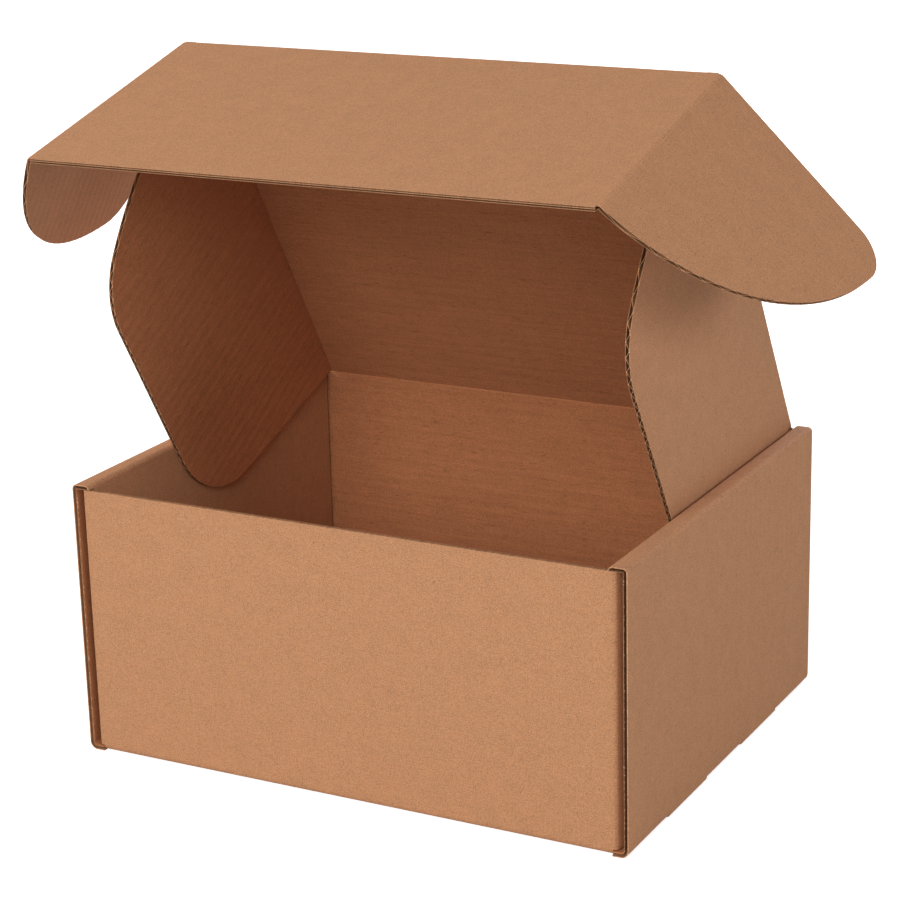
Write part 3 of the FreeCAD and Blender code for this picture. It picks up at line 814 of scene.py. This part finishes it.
def tuft_nodes():
    """Geometry nodes for a row of tufts: lumps along an upright line, each with its own place and size."""
    group = bpy.data.node_groups.new("tuft_row", "GeometryNodeTree")
    vectors, lengths = {"Start": "Vector", "End": "Vector"}, {"Step": "Float", "Size": "Float"}
    for name, kind in {**vectors, **lengths, "Seed": "Int", "Material": "Material"}.items():
        group.interface.new_socket(name, in_out="INPUT", socket_type=f"NodeSocket{kind}")
    group.interface.new_socket("Geometry", in_out="OUTPUT", socket_type="NodeSocketGeometry")
    tree = Tree(group)
    given = tree.add("NodeGroupInput", {}, {}).outputs

    def spread(low, high, offset, unit):
        """A random vector between two others, times a unit."""
        seed = tree.add("ShaderNodeMath", {"operation": "ADD"}, {0: given["Seed"], 1: offset}).outputs[0]
        sockets = {"Min": low, "Max": high, "Seed": seed}
        chance = tree.add("FunctionNodeRandomValue", {"data_type": "FLOAT_VECTOR"}, sockets)
        sockets = {0: chance.outputs["Value"], "Scale": given[unit]}
        return tree.add("ShaderNodeVectorMath", {"operation": "SCALE"}, sockets).outputs[0]

    ends = {"Start Location": given["Start"], "Offset": given["End"], "Resolution": given["Step"]}
    line = tree.add("GeometryNodeMeshLine", {"mode": "END_POINTS", "count_mode": "RESOLUTION"}, ends)
    along = spread((0, 0, -0.45), (0, 0, 0.45), 0, "Step")
    aside = spread((-0.3, -0.25, 0), (0.3, 0.25, 0), 10, "Size")
    both = tree.add("ShaderNodeVectorMath", {"operation": "ADD"}, {0: along, 1: aside}).outputs[0]
    moved = tree.add("GeometryNodeSetPosition", {}, {"Geometry": line.outputs[0], "Offset": both})
    lump = tree.add("GeometryNodeMeshIcoSphere", {}, {"Radius": 1.0, "Subdivisions": 2})
    size = spread((0.5, 0.5, 0.6), (1.1, 1.0, 2.6), 20, "Size")
    sockets = {"Points": moved.outputs[0], "Instance": lump.outputs["Mesh"], "Scale": size}
    placed = tree.add("GeometryNodeInstanceOnPoints", {}, sockets)
    real = tree.add("GeometryNodeRealizeInstances", {}, {0: placed.outputs[0]})
    sockets = {"Geometry": real.outputs[0], "Material": given["Material"]}
    coloured = tree.add("GeometryNodeSetMaterial", {}, sockets)
    tree.add("NodeGroupOutput", {}, {0: coloured.outputs[0]})
    return group


class MAILER_OT_tufts(bpy.types.Operator):
    """Builds the torn paper tufts along the upright cut edges of the outer walls"""

    bl_idname = "mailer.tufts"
    bl_label = "Build Tufts"

    def execute(self, context):
        settings = context.scene.mailer_box
        group = tuft_nodes()
        paper = bpy.data.materials.new("kraft_tuft")
        paper.use_nodes = True
        looks = {"Base Color": (0.6, 0.37, 0.22, 1), "Roughness": 0.9, "Specular IOR Level": 0.2}
        Tree(paper.node_tree).feed(paper.node_tree.nodes["Principled BSDF"], looks)
        rows = [(side, end) for side in (-1, 1) for end in (-1, 1)]
        for seed, (side, end) in enumerate(rows, 1):
            x, y = side * (WALL_X - 1.0), end * (SIDE_EDGE_Y - 0.5)
            values = {
                "Start": Vector((x, y, TUFT_SPAN[0])) * MM,
                "End": Vector((x, y, TUFT_SPAN[1])) * MM,
                "Step": settings.nick_step,
                "Size": settings.nick_size,
                "Seed": seed,
                "Material": paper,
            }
            name = f"tufts_{'right' if side > 0 else 'left'}_{'back' if end > 0 else 'front'}"
            self.build_row(context, group, name, values)
        return {"FINISHED"}

    def build_row(self, context, group, name, values):
        row = bpy.data.objects.new(name, bpy.data.meshes.new(name))
        context.scene.collection.objects.link(row)
        modifier = row.modifiers.new("tufts", "NODES")
        modifier.node_group = group
        for item in group.interface.items_tree:
            if item.in_out == "INPUT":
                modifier[item.identifier] = values[item.name]
        context.view_layer.update()
        mesh = bpy.data.meshes.new_from_object(row.evaluated_get(context.evaluated_depsgraph_get()))
        row.modifiers.clear()
        row.data = mesh
        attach(row, "tray")


def seen_rays(tree):
    """One for rays that show the backdrop, also mirrored or through glass, nought for all others."""
    path = tree.add("ShaderNodeLightPath", {}, {})
    kinds = ("Camera", "Glossy", "Transmission")
    camera, glossy, clear = (Field(tree, path.outputs[f"Is {kind} Ray"]) for kind in kinds)
    return camera.math("MAXIMUM", glossy).math("MAXIMUM", clear)


class MAILER_OT_stage(bpy.types.Operator):
    """Builds floor, light and camera"""

    bl_idname = "mailer.stage"
    bl_label = "Build Stage"

    def execute(self, context):
        settings = context.scene.mailer_box
        self.build_floor()
        self.build_sky(context.scene, settings.sky)
        for name, azimuth, elevation, share, colour in LAMPS:
            self.build_lamp(name, azimuth, elevation, share * settings.light, colour)
        self.build_camera(context.scene)
        context.scene.view_settings.view_transform = "Standard"
        return {"FINISHED"}

    def build_floor(self):
        """A pale floor that glows only for rays that show it, and brighter away from the box."""
        mesh = bpy.data.meshes.new("floor")
        signs = ((-1, -1), (1, -1), (1, 1), (-1, 1))
        corners = [(x * FLOOR_HALF, y * FLOOR_HALF, -FLOOR_DROP) for x, y in signs]
        mesh.from_pydata(corners, [], [(0, 1, 2, 3)])
        material = bpy.data.materials.new("floor")
        material.use_nodes = True
        tree = Tree(material.node_tree)
        place = tree.add("ShaderNodeTexCoord", {}, {}).outputs["Object"]
        length = tree.add("ShaderNodeVectorMath", {"operation": "LENGTH"}, {0: place}).outputs["Value"]
        away = ((Field(tree, length) - 0.5) * 0.8).math("MAXIMUM", 0.0).math("MINIMUM", 1.0)
        level = seen_rays(tree) * (0.78 + away * 0.22)
        sockets = {0: (1, 1, 1), "Scale": level}
        glow = tree.add("ShaderNodeVectorMath", {"operation": "SCALE"}, sockets).outputs[0]
        looks = {"Base Color": (0.65, 0.65, 0.65, 1), "Roughness": 1.0, "Specular IOR Level": 0.0}
        emission = {"Emission Color": glow, "Emission Strength": 1.0}
        tree.feed(material.node_tree.nodes["Principled BSDF"], {**looks, **emission})
        mesh.materials.append(material)
        floor = bpy.data.objects.new("floor", mesh)
        bpy.context.scene.collection.objects.link(floor)

    def build_sky(self, scene, level):
        """A dim sky for the light, white where it is seen."""
        world = bpy.data.worlds.new("sky")
        world.use_nodes = True
        tree = Tree(world.node_tree)
        dim, white = (
            tree.add("ShaderNodeBackground", {}, {"Color": (1, 1, 1, 1), "Strength": strength}).outputs[0]
            for strength in (level, 1.0)
        )
        mix = tree.add("ShaderNodeMixShader", {}, {0: seen_rays(tree), 1: dim, 2: white})
        tree.feed(world.node_tree.nodes["World Output"], {"Surface": mix.outputs[0]})
        scene.world = world

    def build_lamp(self, name, azimuth, elevation, power, colour):
        lamp = bpy.data.lights.new(name, "AREA")
        lamp.shape = "DISK"
        lamp.size = LAMP_SIZE
        lamp.energy, lamp.color = power, colour
        turn, rise = radians(azimuth), radians(elevation)
        towards = Vector((-sin(turn) * cos(rise), cos(turn) * cos(rise), -sin(rise)))
        found = bpy.data.objects.new(name, lamp)
        found.location = Vector(BOX_MIDDLE) - towards * LAMP_DISTANCE
        found.rotation_euler = towards.to_track_quat("-Z", "Y").to_euler()
        bpy.context.scene.collection.objects.link(found)

    def build_camera(self, scene):
        turn, rise, roll = radians(CAMERA_TURN), radians(CAMERA_RISE), radians(CAMERA_ROLL)
        back = Vector((sin(turn) * cos(rise), -cos(turn) * cos(rise), sin(rise)))
        level_right = Vector((0, 0, 1)).cross(back).normalized()
        level_up = back.cross(level_right)
        right = level_right * cos(roll) + level_up * sin(roll)
        up = level_up * cos(roll) - level_right * sin(roll)
        data = bpy.data.cameras.new("camera")
        data.sensor_width = 36
        data.lens = CAMERA_LENS
        data.shift_x, data.shift_y = CAMERA_SHIFT
        data.clip_start, data.clip_end = 0.05, 50
        camera = bpy.data.objects.new("camera", data)
        turned = Matrix((right, up, back)).transposed().to_4x4()
        camera.matrix_world = Matrix.Translation(CAMERA_PLACE) @ turned
        scene.collection.objects.link(camera)
        scene.camera = camera


class MAILER_PT_panel(bpy.types.Panel):
    """Sizes of the board and the buttons that build the scene"""

    bl_label = "Mailer Box"
    bl_idname = "MAILER_PT_panel"
    bl_space_type = "VIEW_3D"
    bl_region_type = "UI"
    bl_category = "Mailer Box"

    def draw(self, context):
        for name in MailerBoxSettings.__annotations__:
            self.layout.prop(context.scene.mailer_box, name)
        for operator in OPERATORS:
            self.layout.operator(operator.bl_idname)


OPERATORS = (MAILER_OT_tray, MAILER_OT_lid, MAILER_OT_creases, MAILER_OT_tufts, MAILER_OT_stage)
CLASSES = (MailerBoxSettings, *OPERATORS, MAILER_PT_panel)


def register():
    for item in CLASSES:
        bpy.utils.register_class(item)
    bpy.types.Scene.mailer_box = bpy.props.PointerProperty(type=MailerBoxSettings)


def unregister():
    del bpy.types.Scene.mailer_box
    for item in reversed(CLASSES):
        bpy.utils.unregister_class(item)


def main():
    register()
    bpy.ops.mailer.tray()
    bpy.ops.mailer.lid()
    bpy.ops.mailer.creases()
    bpy.ops.mailer.tufts()
    bpy.ops.mailer.stage()


if __name__ == "__main__":
    main()
